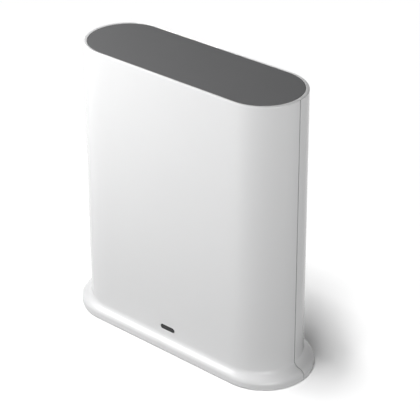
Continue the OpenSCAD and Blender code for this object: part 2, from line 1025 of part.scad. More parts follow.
// Places of the heat sink's two push pins, as X and Z
function sink_pin_spots() = [
    for (side = [-1, 1])
        [sink_x + side * (sink_w / 2 - sink_pin_edge), sink_z + side * (sink_w / 2 - sink_pin_edge)]
];

module main_board() {
    color(board_green)
        along_y(board_front, board_y)
            difference() {
                translate([0, board_z + board_h / 2])
                    round_rect(board_w, board_h, board_round);
                for (side = [-1, 1], z = board_screw_zs)
                    translate([side * board_screw_x, z])
                        circle(d = screw_hole_d);
                for (spot = sink_pin_spots())
                    translate(spot)
                        circle(d = sink_pin_d + 2 * snug);
            }
}

module board_screws() {
    color(steel)
        for (side = [-1, 1], z = board_screw_zs)
            translate([side * board_screw_x, board_front, z])
                rotate([-90, 0, 0])
                    screw();
}

module status_light() {
    color(lens_yellow)
        along_y(board_front - light_t, board_front)
            translate([window_x, window_z])
                square([light_w, light_h], center = true);
}

module processor() {
    color(black_plastic)
        along_y(board_front - chip_t, board_front)
            translate([sink_x, sink_z])
                square(chip_w, center = true);
}

module thermal_pad() {
    color(pad_blue)
        along_y(sink_y, board_front - chip_t)
            translate([sink_x, sink_z])
                square(chip_w, center = true);
}

// Finned plate: the fins stand upright over its middle, and the pins go through its corners
module heat_sink() {
    step = (fin_field - fin_t) / (fins - 1);
    color(aluminium) {
        along_y(sink_y - sink_base, sink_y)
            difference() {
                translate([sink_x, sink_z])
                    square(sink_w, center = true);
                for (spot = sink_pin_spots())
                    translate(spot)
                        circle(d = sink_pin_d + 2 * snug);
            }
        along_y(sink_y - sink_base - fin_h, sink_y - sink_base / 2)
            for (i = [0 : fins - 1])
                translate([sink_x + (i - (fins - 1) / 2) * step, sink_z])
                    square([fin_t, sink_w], center = true);
    }
}

module sink_pins() {
    color(black_plastic)
        for (spot = sink_pin_spots()) {
            along_y(sink_y - sink_base - sink_pin_head_t, sink_y - sink_base)
                translate(spot)
                    circle(d = sink_pin_head);
            along_y(sink_y - sink_base - sink_pin_head_t / 2, board_y + sink_pin_tail)
                translate(spot)
                    circle(d = sink_pin_d);
        }
}

// Pressed can, open to the board
module radio_shield() {
    color(steel)
        difference() {
            along_y(board_front - radio_t, board_front)
                translate([radio_x, radio_z])
                    square([radio_w, radio_h], center = true);
            along_y(board_front - radio_t + sheet_t, board_front + over)
                translate([radio_x, radio_z])
                    square([radio_w - 2 * sheet_t, radio_h - 2 * sheet_t], center = true);
        }
}

module memory_chips() {
    color(black_plastic)
        along_y(board_front - memory_t, board_front)
            for (x = memory_xs)
                translate([x, memory_z])
                    square([memory_w, memory_h], center = true);
}

module lan_transformer() {
    color(black_plastic)
        along_y(board_y, board_y + transformer_t)
            translate([lan_x, bay_z + lan_h / 2 + transformer_gap + transformer_h / 2])
                square([transformer_w, transformer_h], center = true);
}

module capacitors() {
    color(can_blue)
        along_y(board_y, board_y + capacitor_len)
            for (spot = capacitor_spots)
                translate(spot)
                    circle(d = capacitor_d);
}

module inductors() {
    color(coil_grey)
        along_y(board_y, board_y + inductor_t)
            for (spot = inductor_spots)
                translate(spot)
                    round_rect(inductor_w, inductor_w, inductor_round);
}

module antenna(side) {
    color(board_green)
        translate([side * antenna_x - antenna_t / 2, -antenna_w / 2, antenna_z])
            cube([antenna_t, antenna_w, antenna_h]);
}

module antenna_left() {
    antenna(-1);
}

module antenna_right() {
    antenna(1);
}

// Quarter bend of a lead in the upright plane, starting at an angle from +X
module lead_elbow(start) {
    rotate([90, 0, 0])
        rotate([0, 0, start])
            rotate_extrude(angle = 90)
                translate([lead_bend, 0])
                    circle(d = lead_d);
}

// Lead on the right side: out from its plug, up beside the board, and out again to the antenna
module lead_path() {
    low = plug_spot_z;
    high = lead_end_z;
    start = plug_spot_x + lead_plug_d / 2;
    end = antenna_x - antenna_t / 2;
    translate([start, lead_y, low])
        rotate([0, 90, 0])
            cylinder(d = lead_d, h = lead_rise_x - lead_bend - start);
    translate([lead_rise_x - lead_bend, lead_y, low + lead_bend])
        lead_elbow(-90);
    translate([lead_rise_x, lead_y, low + lead_bend])
        cylinder(d = lead_d, h = high - low - 2 * lead_bend);
    translate([lead_rise_x + lead_bend, lead_y, high - lead_bend])
        lead_elbow(90);
    translate([lead_rise_x + lead_bend, lead_y, high])
        rotate([0, 90, 0])
            cylinder(d = lead_d, h = end - lead_rise_x - lead_bend);
}

module lead_left() {
    color(black_plastic)
        mirror([1, 0, 0])
            lead_path();
}

module lead_right() {
    color(black_plastic)
        lead_path();
}

module lead_plugs() {
    color(gold)
        along_y(board_front - lead_plug_t, board_front)
            for (side = [-1, 1])
                translate([side * plug_spot_x, plug_spot_z])
                    circle(d = lead_plug_d);
}

front_shell();
rear_shell();
top_panel();
light_pipe();
base_plate();
foot_pads();
base_screws();
port_panel();
power_jack();
power_pin();
lan_shield();
lan_insert();
lan_contacts();
usb_shell();
usb_tongue();
usb_contacts();
sync_button();
sync_plunger();
sync_switch();
reset_plunger();
reset_switch();
main_board();
board_screws();
status_light();
processor();
thermal_pad();
heat_sink();
sink_pins();
radio_shield();
memory_chips();
lan_transformer();
capacitors();
inductors();
antenna_left();
antenna_right();
lead_left();
lead_right();
lead_plugs();
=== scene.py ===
"""Looks for a base station for wireless cameras: an obround white tower on a flanged foot, with a grey top.

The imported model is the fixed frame, in metres, with +Z up and the front facing -Y. The two shells are lofted
here with soft edges and stand for their nodes. The other outer pieces are copies of their nodes with rounded
edges, and what lies inside keeps the node's own mesh. Every finish is procedural.
"""

import json
import math

import bmesh
import bpy
from bpy.props import FloatProperty, FloatVectorProperty, IntProperty, PointerProperty
from bpy.types import Operator, Panel, PropertyGroup
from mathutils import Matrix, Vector

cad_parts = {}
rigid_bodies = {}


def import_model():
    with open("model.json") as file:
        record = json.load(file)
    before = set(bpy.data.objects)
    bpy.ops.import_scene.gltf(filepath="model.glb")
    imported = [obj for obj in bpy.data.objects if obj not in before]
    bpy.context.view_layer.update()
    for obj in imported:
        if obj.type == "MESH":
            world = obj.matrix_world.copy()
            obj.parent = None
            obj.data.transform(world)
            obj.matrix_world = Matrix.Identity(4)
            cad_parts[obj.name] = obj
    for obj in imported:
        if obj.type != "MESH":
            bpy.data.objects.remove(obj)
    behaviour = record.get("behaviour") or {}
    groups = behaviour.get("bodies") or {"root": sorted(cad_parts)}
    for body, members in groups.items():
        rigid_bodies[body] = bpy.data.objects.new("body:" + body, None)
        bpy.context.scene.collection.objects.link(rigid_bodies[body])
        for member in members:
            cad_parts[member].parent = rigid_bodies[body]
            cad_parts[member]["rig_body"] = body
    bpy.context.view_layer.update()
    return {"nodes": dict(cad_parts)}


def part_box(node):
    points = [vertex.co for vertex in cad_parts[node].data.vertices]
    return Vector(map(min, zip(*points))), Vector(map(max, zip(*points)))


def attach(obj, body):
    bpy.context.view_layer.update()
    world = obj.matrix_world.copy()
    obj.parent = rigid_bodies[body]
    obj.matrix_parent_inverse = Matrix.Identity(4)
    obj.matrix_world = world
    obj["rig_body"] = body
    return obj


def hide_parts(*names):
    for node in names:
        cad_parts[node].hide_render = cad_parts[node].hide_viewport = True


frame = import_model()

bl_info = {
    "name": "Camera Base Station",
    "version": (1, 0, 0),
    "blender": (4, 5, 0),
    "location": "View3D > Sidebar > Station",
    "description": "Dresses the packed base station and sets up its studio",
    "category": "Object",
}

MM = 0.001
FRONT = -1
REAR = 1
QUARTERS = ((1, 1), (-1, 1), (-1, -1), (1, -1))

# Fineness and limits of the meshes
TINY = 1e-9
WELD = 1e-7
NODE_WELD = 1e-6
ON_FACE = 1e-6
LIP_STEPS = 3
RIM_STEPS = 6
FLARE_STEPS = 12
END_STEPS = 30
SEAM_CLEAR_DEG = 2.0
GROOVE_SHARE = 0.8
OPENING_DEG = 60.0
CRISP_DEG = 35.0
FLAT_DEG = 1.0

# Corners of the nodes that the skins are built around
SHELL_LOW, SHELL_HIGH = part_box("front_shell")
BASE_LOW, BASE_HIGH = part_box("base_plate")
PANEL_LOW, PANEL_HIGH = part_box("top_panel")
PORT_LOW, PORT_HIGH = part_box("port_panel")
BUTTON_LOW, BUTTON_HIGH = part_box("sync_button")


def length(name, description, default_mm, **more):
    """A size property, given in millimetres and kept in metres."""
    return FloatProperty(name=name, description=description, default=default_mm * MM, min=0.0,
                         precision=5, unit="LENGTH", **more)


def tint(name, description, default):
    """A colour property, in linear values."""
    return FloatVectorProperty(name=name, description=description, default=default, size=3, min=0.0, max=1.0,
                               subtype="COLOR")


class StationSizes(PropertyGroup):
    """Sizes of the skins that the frame's boxes don't give."""

    end_span: length("End span", "Distance between the centres of the two round ends", 85.0)
    top_depth: length("Top depth", "Depth of the body at the top, front to back", 42.5)
    side_draft: length("Side draft", "How much further each side stands out at the foot than on top", 1.55)
    wall: length("Wall", "Thickness of the shell walls", 2.2)
    rim_round: length("Rim rounding", "Rounding of the rim's outer edge", 0.6)
    rim_lip: length("Rim inner rounding", "Rounding of the rim's inner edge", 0.2)
    panel_gap: length("Panel gap", "Gap all round the top panel", 0.15)
    panel_t: length("Panel thickness", "Thickness of the top panel", 2.0)
    flange_h: length("Flange height", "Height of the flange", 5.4)
    flange_round: length("Flange rounding", "Rounding of the flange's upper edge", 3.0)
    flange_lip: length("Flange lower rounding", "Rounding of the flange's lower edge", 0.3)
    sweep_r: length("Sweep radius", "Radius of the hollow sweep from the flange into the body", 3.6)
    base_t: length("Base thickness", "Thickness of the base plate", 1.8)
    base_play: length("Base play", "Play around the base plate", 0.1)
    seam_w: length("Seam width", "Width of the groove where the shells meet", 0.45)
    seam_d: length("Seam depth", "Depth of that groove", 0.8)
    seam_round: length("Seam rounding", "Rounding of the groove's edges", 0.12)
    window_w: length("Window width", "Width of the light window", 9.3)
    window_h: length("Window height", "Height of the light window", 2.7)
    window_x: length("Window place", "Place of the window to the right of the middle", 1.0)
    window_z: length("Window level", "Height of the window's middle above the table", 12.0)
    bay_round: length("Bay rounding", "Rounding of the port bay's corners", 4.0)
    bay_wall: length("Bay wall", "Thickness of the port bay's walls", 1.8)
    bay_ledge: length("Bay ledge", "Width of the ledge under the port panel", 2.0)
    port_play: length("Port panel play", "Play around the port panel", 0.1)
    button_rim: length("Button flange", "How far the button's flange reaches past its cap", 1.6)
    button_gap: length("Button gap", "Gap around the button's cap", 0.3)
    vents: IntProperty(name="Vents", description="Number of vent slots in the back", default=11, min=1)
    vent_w: length("Vent width", "Width of a vent slot", 2.2)
    vent_len: length("Vent length", "Length of a vent slot", 24.0)
    vent_pitch: length("Vent pitch", "Distance between neighbouring vent slots", 5.0)
    vent_z: length("Vent level", "Height of the vents' middle above the table", 114.0)
    cut_round: length("Opening rounding", "Rounding of the edges of openings in the shells", 0.35)


class StationColours(PropertyGroup):
    """Base colours of the finishes."""

    shell: tint("Shell", "Glossy white of the two shells", (0.83, 0.832, 0.835))
    # The seam tint is painted shade that darkens the groove between the shells
    seam: tint("Seam", "Dust and shade in the groove between the shells", (0.48, 0.48, 0.485))
    panel: tint("Panel", "Matt grey of the top, the button and the port panel", (0.174, 0.175, 0.178))
    window: tint("Window", "Smoked plastic of the light window", (0.008, 0.008, 0.009))
    base: tint("Base", "Textured white of the base plate", (0.78, 0.78, 0.78))
    pads: tint("Pads", "Rubber of the foot pads", (0.07, 0.07, 0.072))
    steel: tint("Steel", "Plated steel of shields and screws", (0.62, 0.63, 0.64))
    gold: tint("Gold", "Plating of the contacts", (0.8, 0.6, 0.24))
    jack: tint("Jack", "Black moulding of the sockets", (0.022, 0.022, 0.024))
    board: tint("Board", "Solder mask of the boards", (0.025, 0.13, 0.06))
    chip: tint("Chip", "Moulded packages on the board", (0.028, 0.028, 0.03))
    lens: tint("Lens", "Lens of the status light", (0.85, 0.83, 0.7))
    thermal: tint("Thermal pad", "Soft pad under the heat sink", (0.3, 0.36, 0.5))
    aluminium: tint("Aluminium", "Anodised heat sink", (0.72, 0.73, 0.75))
    can: tint("Can", "Sleeves of the capacitors", (0.1, 0.12, 0.2))
    lead: tint("Lead", "Jackets of the antenna leads", (0.03, 0.03, 0.03))
    floor: tint("Floor", "Plain pale floor", (0.9, 0.9, 0.9))


class StudioSettings(PropertyGroup):
    """Camera and light of the studio."""

    azimuth: FloatProperty(name="Azimuth", description="Turn of the camera from the front to the right",
                           default=math.radians(39.89), subtype="ANGLE")
    elevation: FloatProperty(name="Elevation", description="Height of the camera above level",
                             default=math.radians(30.01), subtype="ANGLE")
    distance: FloatProperty(name="Distance", description="Distance of the camera from its target",
                            default=0.7652, unit="LENGTH")
    target: FloatVectorProperty(name="Target", description="Point that the camera looks at",
                                default=(0.01042, 0.0, 0.07529), subtype="TRANSLATION", unit="LENGTH")
    lens: FloatProperty(name="Lens", description="Focal length on a 36 mm sensor, in millimetres",
                        default=132.29)
    floor_bounce: FloatProperty(name="Floor bounce", default=0.146,
                                description="Share of light that the floor throws back up")
    floor_side: FloatProperty(name="Floor side", description="Side of the square floor", default=8.0,
                              unit="LENGTH")


# Plan and section of the housing

def plan_reach(half, radius, origin, direction):
    """Distance along a direction, from a point on the middle line, to the edge of an obround."""
    if abs(direction.y) > TINY:
        reach = radius / abs(direction.y)
        if abs(origin + reach * direction.x) <= half:
            return reach
    centre = math.copysign(half, direction.x if abs(direction.x) > TINY else origin)
    off = (origin - centre) * direction.x
    return math.sqrt(off ** 2 - (origin - centre) ** 2 + radius ** 2) - off


def wall_radius(sizes, z):
    """Distance of the body's outside from its middle line at a height."""
    return sizes.top_depth / 2 + sizes.side_draft * (1 - z / SHELL_HIGH.z)


def arc(centre, radius, start, end, steps):
    """Points of an arc in the section, angles in degrees from the outward direction."""
    turns = [math.radians(start + (end - start) * i / steps) for i in range(steps + 1)]
    return [(centre[0] + radius * math.cos(a), centre[1] + radius * math.sin(a)) for a in turns]


def flare(sizes, edge):
    """Hollow sweep and round shoulder of the foot, from the wall out to the flange's edge.

    In front and behind the two arcs touch each other. Towards the ends they are stretched outwards.
    """
    sweep, brow = sizes.sweep_r, sizes.flange_round
    brow_t, brow_z = -SHELL_LOW.y - brow, SHELL_LOW.z + sizes.flange_h - brow
    wall = wall_radius(sizes, brow_z + brow + sweep)
    turn = math.acos((wall + sweep - brow_t) / (sweep + brow))
    sweep_z = brow_z + (sweep + brow) * math.sin(turn)
    turn = math.degrees(turn)
    front = arc((wall + sweep, sweep_z), sweep, 180, 180 + turn, FLARE_STEPS)
    front += arc((brow_t, brow_z), brow, turn, 0, FLARE_STEPS)[1:]
    start = wall_radius(sizes, sweep_z)
    stretch = (edge - start) / (brow_t + brow - wall)
    return [(start + (t - wall) * stretch, z) for t, z in front]


def outer_line(sizes, origin, direction):
    """Outside of the housing in one upright plane: over the rim, down the wall and round the flange.

    Each point has its distance from the middle, its height and the depth that a groove can have there.
    """
    top, foot = SHELL_HIGH.z, SHELL_LOW.z
    flange_l = SHELL_HIGH.x + SHELL_LOW.y
    seat = plan_reach(PANEL_HIGH.x - PANEL_HIGH.y, PANEL_HIGH.y + sizes.panel_gap, origin, direction)
    edge = plan_reach(flange_l, -SHELL_LOW.y, origin, direction)
    lip, rim, hem = sizes.rim_lip, sizes.rim_round, sizes.flange_lip
    stretches = [
        (lip, arc((seat + lip, top - lip), lip, 180, 90, LIP_STEPS)),
        (rim, arc((wall_radius(sizes, top - rim) - rim, top - rim), rim, 90, 0, RIM_STEPS)),
        (sizes.wall, flare(sizes, edge)),
        (hem, arc((edge - hem, foot + hem), hem, 0, -90, LIP_STEPS)),
    ]
    return [(t, z, depth) for depth, stretch in stretches for t, z in stretch]


def inner_line(sizes, origin, direction):
    """Inside of the housing in the same plane: the base plate's seat, the wall and the panel's seat."""
    top, foot = SHELL_HIGH.z, SHELL_LOW.z
    flange_l = SHELL_HIGH.x + SHELL_LOW.y
    base_top = foot + sizes.base_t
    panel_z = top - sizes.panel_t
    seat = plan_reach(PANEL_HIGH.x - PANEL_HIGH.y, PANEL_HIGH.y + sizes.panel_gap, origin, direction)
    base = plan_reach(flange_l, BASE_HIGH.y + sizes.base_play, origin, direction)
    low, high = (wall_radius(sizes, z) - sizes.wall for z in (base_top, panel_z))
    return [(base, foot), (base, base_top), (low, base_top), (high, panel_z), (seat, panel_z)]


def inset(line, depth):
    """The outside's points moved inwards by a depth, square to the line, but never past its own roundings."""
    moved = []
    for i, (t, z, limit) in enumerate(line):
        before, after = line[max(i - 1, 0)], line[min(i + 1, len(line) - 1)]
        along = Vector((after[0] - before[0], after[1] - before[1])).normalized()
        step = min(depth, GROOVE_SHARE * limit)
        moved.append((t + along.y * step, z - along.x * step))
    return moved


def housing_columns(sizes, facing):
    """Closed sections round one half of the housing, from the right seam to the left one."""
    half = sizes.end_span / 2
    gap, edge = sizes.seam_w / 2, sizes.seam_round
    turns = [math.radians(a) for a in (0, 30, 60, 90)]
    seam = [(0.0, sizes.seam_d), (gap, sizes.seam_d)]
    seam += [(gap + edge * (1 - math.sin(a)), edge * (1 - math.cos(a))) for a in reversed(turns)]
    columns = []

    def seam_column(side, out, depth):
        origin, direction = side * half, Vector((side, 0.0))
        loop = inset(outer_line(sizes, origin, direction), depth) + inner_line(sizes, origin, direction)
        columns.append([(origin + side * math.sqrt(t * t - out * out), facing * out, z) for t, z in loop])

    def ray_column(side, angle):
        origin = side * half
        direction = Vector((side * math.cos(angle), facing * math.sin(angle)))
        loop = inset(outer_line(sizes, origin, direction), 0.0) + inner_line(sizes, origin, direction)
        columns.append([(origin + t * direction.x, t * direction.y, z) for t, z in loop])

    spread = 90 - SEAM_CLEAR_DEG
    angles = [math.radians(SEAM_CLEAR_DEG + spread * i / END_STEPS) for i in range(END_STEPS + 1)]
    for out, depth in seam:
        seam_column(1, out, depth)
    for angle in angles:
        ray_column(1, angle)
    for angle in reversed(angles):
        ray_column(-1, angle)
    for out, depth in reversed(seam):
        seam_column(-1, out, depth)
    return columns


def loft(name, columns):
    """A closed mesh through equal loops of points, capped at both ends."""
    mesh = bmesh.new()
    rows = [[mesh.verts.new(point) for point in column] for column in columns]
    count = len(rows[0])
    for here, there in zip(rows, rows[1:]):
        for i in range(count):
            j = (i + 1) % count
            mesh.faces.new((here[i], here[j], there[j], there[i]))
    mesh.faces.new(rows[0])
    mesh.faces.new(list(reversed(rows[-1])))
    bmesh.ops.recalc_face_normals(mesh, faces=mesh.faces)
    return new_piece(name, mesh)


# Mesh helpers

def new_piece(name, mesh):
    """Links a mesh to the scene as an object and frees the working copy."""
    data = bpy.data.meshes.new(name)
    mesh.to_mesh(data)
    mesh.free()
    piece = bpy.data.objects.new(name, data)
    bpy.context.scene.collection.objects.link(piece)
    return piece


def pill_outline(width, height, x, z, steps=20):
    """Points of an obround in the upright plane, lying or standing."""
    radius = min(width, height) / 2
    run_x, run_z = width / 2 - radius, height / 2 - radius
    points = []
    for quarter, (sx, sz) in enumerate(QUARTERS):
        for i in range(steps // 2 + 1):
            a = math.radians(90 * (quarter + i / (steps // 2)))
            points.append((x + sx * run_x + radius * math.cos(a), z + sz * run_z + radius * math.sin(a)))
    return points


def corner_outline(width, height, radius, x, z, steps=8):
    """Points of a rectangle with round corners in the upright plane."""
    points = []
    for quarter, (sx, sz) in enumerate(QUARTERS):
        for i in range(steps + 1):
            a = math.radians(90 * (quarter + i / steps))
            points.append((x + sx * (width / 2 - radius) + radius * math.cos(a),
                           z + sz * (height / 2 - radius) + radius * math.sin(a)))
    return points


def prisms(name, outlines, y0, y1):
    """Straight blocks along Y with the given outlines, as one object."""
    mesh = bmesh.new()
    for outline in outlines:
        near = [mesh.verts.new((x, y0, z)) for x, z in outline]
        far = [mesh.verts.new((x, y1, z)) for x, z in outline]
        for i in range(len(outline)):
            j = (i + 1) % len(outline)
            mesh.faces.new((near[i], near[j], far[j], far[i]))
        mesh.faces.new(list(reversed(near)))
        mesh.faces.new(far)
    bmesh.ops.remove_doubles(mesh, verts=mesh.verts, dist=WELD)
    bmesh.ops.recalc_face_normals(mesh, faces=mesh.faces)
    return new_piece(name, mesh)


def combine(piece, other, operation):
    """Cuts one object from a piece or adds it, and removes that object."""
    step = piece.modifiers.new(operation, "BOOLEAN")
    step.operation = operation
    step.solver = "EXACT"
    step.object = other
    shaped = bpy.data.meshes.new_from_object(piece.evaluated_get(bpy.context.evaluated_depsgraph_get()))
    piece.modifiers.clear()
    piece.data = shaped
    bpy.data.objects.remove(other)


def round_edges(mesh, edges, width, segments):
    """Rounds edges of a working mesh by a width."""
    bmesh.ops.bevel(mesh, geom=edges, offset=width, offset_type="OFFSET", segments=segments, profile=0.5,
                    affect="EDGES", clamp_overlap=True, loop_slide=False)


def round_openings(piece, sizes):
    """Rounds the edges where openings meet the flat outside of a shell."""
    mesh = bmesh.new()
    mesh.from_mesh(piece.data)
    bmesh.ops.remove_doubles(mesh, verts=mesh.verts, dist=WELD)

    def on_face(vert):
        return abs(abs(vert.co.y) - wall_radius(sizes, vert.co.z)) < ON_FACE

    rims = [e for e in mesh.edges
            if e.is_manifold and e.calc_face_angle() > math.radians(OPENING_DEG)
            and all(on_face(v) for v in e.verts)]
    round_edges(mesh, rims, sizes.cut_round, 3)
    mesh.to_mesh(piece.data)
    mesh.free()


def smooth(piece):
    """Smooth shading that keeps flat faces flat and crisp edges crisp."""
    piece.data.polygons.foreach_set("use_smooth", [True] * len(piece.data.polygons))
    piece.data.set_sharp_from_angle(angle=math.radians(CRISP_DEG))
    weights = piece.modifiers.new("face_weights", "WEIGHTED_NORMAL")
    weights.keep_sharp = True
    weights.weight = 100


def softened(node, name, width_mm):
    """Copy of a node's mesh with its crisp edges rounded, which stands for the node."""
    mesh = bmesh.new()
    mesh.from_mesh(frame["nodes"][node].data)
    bmesh.ops.remove_doubles(mesh, verts=mesh.verts, dist=NODE_WELD)
    bmesh.ops.dissolve_limit(mesh, angle_limit=math.radians(FLAT_DEG), use_dissolve_boundaries=False,
                             verts=mesh.verts, edges=mesh.edges, delimit=set())
    crisp = [e for e in mesh.edges if e.is_manifold and e.calc_face_angle() > math.radians(CRISP_DEG)]
    round_edges(mesh, crisp, width_mm * MM, 2)
    piece = new_piece(name, mesh)
    smooth(piece)
    return piece


def dress(piece, node, material):
    """Gives a new piece its finish and its body, and hides the node that it stands for."""
    piece.data.materials.clear()
    piece.data.materials.append(material)
    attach(piece, frame["nodes"][node]["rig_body"])
    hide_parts(node)


def coat_node(node, material):
    """Gives a node that keeps its own mesh a procedural finish."""
    frame["nodes"][node].material_slots[0].material = material


# Shared surface effects

# How much longer brushed lines are along X, as a scale, and how much they dull the metal
LINE_STRETCH = 0.02
LINE_DULLING = 0.2


def new_group(name, inputs, outputs):
    """An empty shader node group with named sockets."""
    group = bpy.data.node_groups.new(name, "ShaderNodeTree")
    for socket, kind, default in inputs:
        made = group.interface.new_socket(name=socket, in_out="INPUT", socket_type=kind)
        made.default_value = default
    for socket, kind in outputs:
        group.interface.new_socket(name=socket, in_out="OUTPUT", socket_type=kind)
    return group, group.nodes.new("NodeGroupInput"), group.nodes.new("NodeGroupOutput")


def math_node(tree, operation, *values):
    """Output of a math node whose inputs are constants or other nodes' outputs."""
    node = tree.nodes.new("ShaderNodeMath")
    node.operation = operation
    for socket, value in zip(node.inputs, values):
        if isinstance(value, bpy.types.NodeSocket):
            tree.links.new(value, socket)
        else:
            socket.default_value = value
    return node.outputs[0]


def object_noise(group, scale, detail):
    """A noise texture in object space whose scale comes from a group socket."""
    place = group.nodes.new("ShaderNodeTexCoord")
    noise = group.nodes.new("ShaderNodeTexNoise")
    noise.inputs["Detail"].default_value = detail
    group.links.new(place.outputs["Object"], noise.inputs["Vector"])
    group.links.new(scale, noise.inputs["Scale"])
    return noise


def tone_drift():
    """Slow change of tone over a surface."""
    if "Tone Drift" in bpy.data.node_groups:
        return bpy.data.node_groups["Tone Drift"]
    group, given, result = new_group(
        "Tone Drift",
        [("Color", "NodeSocketColor", (0.8, 0.8, 0.8, 1.0)), ("Scale", "NodeSocketFloat", 30.0),
         ("Amount", "NodeSocketFloat", 0.04)],
        [("Color", "NodeSocketColor")])
    noise = object_noise(group, given.outputs["Scale"], 3.0)
    swing = math_node(group, "SUBTRACT", noise.outputs["Fac"], 0.5)
    level = math_node(group, "MULTIPLY_ADD", swing, given.outputs["Amount"], 1.0)
    shade = group.nodes.new("ShaderNodeVectorMath")
    shade.operation = "SCALE"
    group.links.new(given.outputs["Color"], shade.inputs[0])
    group.links.new(level, shade.inputs["Scale"])
    group.links.new(shade.outputs[0], result.inputs["Color"])
    return group


def handling_marks():
    """Faint patches where a surface is a little more or less polished."""
    if "Handling Marks" in bpy.data.node_groups:
        return bpy.data.node_groups["Handling Marks"]
    group, given, result = new_group(
        "Handling Marks",
        [("Roughness", "NodeSocketFloat", 0.3), ("Scale", "NodeSocketFloat", 60.0),
         ("Amount", "NodeSocketFloat", 0.1)],
        [("Roughness", "NodeSocketFloat")])
    noise = object_noise(group, given.outputs["Scale"], 5.0)
    swing = math_node(group, "SUBTRACT", noise.outputs["Fac"], 0.5)
    level = math_node(group, "MULTIPLY_ADD", swing, given.outputs["Amount"], given.outputs["Roughness"])
    level.node.use_clamp = True
    group.links.new(level, result.inputs["Roughness"])
    return group


def moulded_grain():
    """Fine grain of a moulded surface, as a height."""
    if "Moulded Grain" in bpy.data.node_groups:
        return bpy.data.node_groups["Moulded Grain"]
    group, given, result = new_group(
        "Moulded Grain", [("Scale", "NodeSocketFloat", 2000.0)], [("Height", "NodeSocketFloat")])
    noise = object_noise(group, given.outputs["Scale"], 2.0)
    group.links.new(noise.outputs["Fac"], result.inputs["Height"])
    return group


def brushed_lines():
    """Fine lines along X left by rolling or brushing, as a mask."""
    if "Brushed Lines" in bpy.data.node_groups:
        return bpy.data.node_groups["Brushed Lines"]
    group, given, result = new_group(
        "Brushed Lines", [("Scale", "NodeSocketFloat", 3000.0), ("Roughness", "NodeSocketFloat", 0.3)],
        [("Height", "NodeSocketFloat"), ("Roughness", "NodeSocketFloat")])
    place = group.nodes.new("ShaderNodeTexCoord")
    stretch = group.nodes.new("ShaderNodeMapping")
    stretch.inputs["Scale"].default_value = (LINE_STRETCH, 1.0, 1.0)
    noise = group.nodes.new("ShaderNodeTexNoise")
    noise.inputs["Detail"].default_value = 2.0
    level = math_node(group, "MULTIPLY_ADD", noise.outputs["Fac"], LINE_DULLING, given.outputs["Roughness"])
    group.links.new(place.outputs["Object"], stretch.inputs["Vector"])
    group.links.new(stretch.outputs["Vector"], noise.inputs["Vector"])
    group.links.new(given.outputs["Scale"], noise.inputs["Scale"])
    group.links.new(noise.outputs["Fac"], result.inputs["Height"])
    group.links.new(level, result.inputs["Roughness"])
    return group


# Finishes

def new_material(name):
    """A material with its node tree and its shader."""
    material = bpy.data.materials.new(name)
    material.use_nodes = True
    return material, material.node_tree, material.node_tree.nodes["Principled BSDF"]


def place_group(tree, group, **values):
    """Places a node group in a material with its own values."""
    node = tree.nodes.new("ShaderNodeGroup")
    node.node_tree = group
    for socket, value in values.items():
        node.inputs[socket].default_value = value
    return node


def add_bump(tree, shader, height, depth):
    """Feeds a height through a bump node into a shader's normal."""
    bump = tree.nodes.new("ShaderNodeBump")
    bump.inputs["Strength"].default_value = 1.0
    bump.inputs["Distance"].default_value = depth
    tree.links.new(height, bump.inputs["Height"])
    tree.links.new(bump.outputs["Normal"], shader.inputs["Normal"])


def moulding(name, colour, roughness, grain_per_m, grain_depth, drift, polish, gloss):
    """A moulded plastic or rubber with tone drift, uneven polish and grain."""
    material, tree, shader = new_material(name)
    shader.inputs["Specular IOR Level"].default_value = gloss
    tone = place_group(tree, tone_drift(), Color=(*colour, 1.0), Amount=drift)
    marks = place_group(tree, handling_marks(), Roughness=roughness, Amount=polish)
    grain = place_group(tree, moulded_grain(), Scale=grain_per_m)
    tree.links.new(tone.outputs["Color"], shader.inputs["Base Color"])
    tree.links.new(marks.outputs["Roughness"], shader.inputs["Roughness"])
    add_bump(tree, shader, grain.outputs["Height"], grain_depth)
    return material


def add_seam_painted_shade(material, sizes, colour):
    """Paints shade into the groove between the shells, as a darker colour on their finish there."""
    tree = material.node_tree
    shader = tree.nodes["Principled BSDF"]
    base = shader.inputs["Base Color"].links[0].from_socket
    place = tree.nodes.new("ShaderNodeTexCoord")
    split = tree.nodes.new("ShaderNodeSeparateXYZ")
    off = math_node(tree, "ABSOLUTE", split.outputs["Y"])
    mask = tree.nodes.new("ShaderNodeMapRange")
    mask.inputs["From Min"].default_value = sizes.seam_w / 2
    mask.inputs["From Max"].default_value = sizes.seam_w / 2 + sizes.seam_round
    # Painted shade: inside the groove the base colour gives way to the seam colour
    blend = tree.nodes.new("ShaderNodeMix")
    blend.data_type = "RGBA"
    blend.inputs["A"].default_value = (*colour, 1.0)
    tree.links.new(place.outputs["Object"], split.inputs[0])
    tree.links.new(off, mask.inputs["Value"])
    tree.links.new(mask.outputs["Result"], blend.inputs["Factor"])
    tree.links.new(base, blend.inputs["B"])
    tree.links.new(blend.outputs["Result"], shader.inputs["Base Color"])


def metal(name, colour, roughness, lines_per_m, line_depth):
    """A bare or plated metal with fine lines and uneven polish."""
    material, tree, shader = new_material(name)
    shader.inputs["Metallic"].default_value = 1.0
    tone = place_group(tree, tone_drift(), Color=(*colour, 1.0), Scale=80.0, Amount=0.1)
    lines = place_group(tree, brushed_lines(), Scale=lines_per_m, Roughness=roughness)
    tree.links.new(tone.outputs["Color"], shader.inputs["Base Color"])
    tree.links.new(lines.outputs["Roughness"], shader.inputs["Roughness"])
    add_bump(tree, shader, lines.outputs["Height"], line_depth)
    return material


# Copper traces under the solder mask: cells to the metre, width in cells and how much paler they are
TRACES_PER_M = 220.0
TRACE_EDGE = (0.04, 0.07)
TRACE_PALER = (2.4, 1.7, 1.7)
TRACE_DEPTH = 2e-5


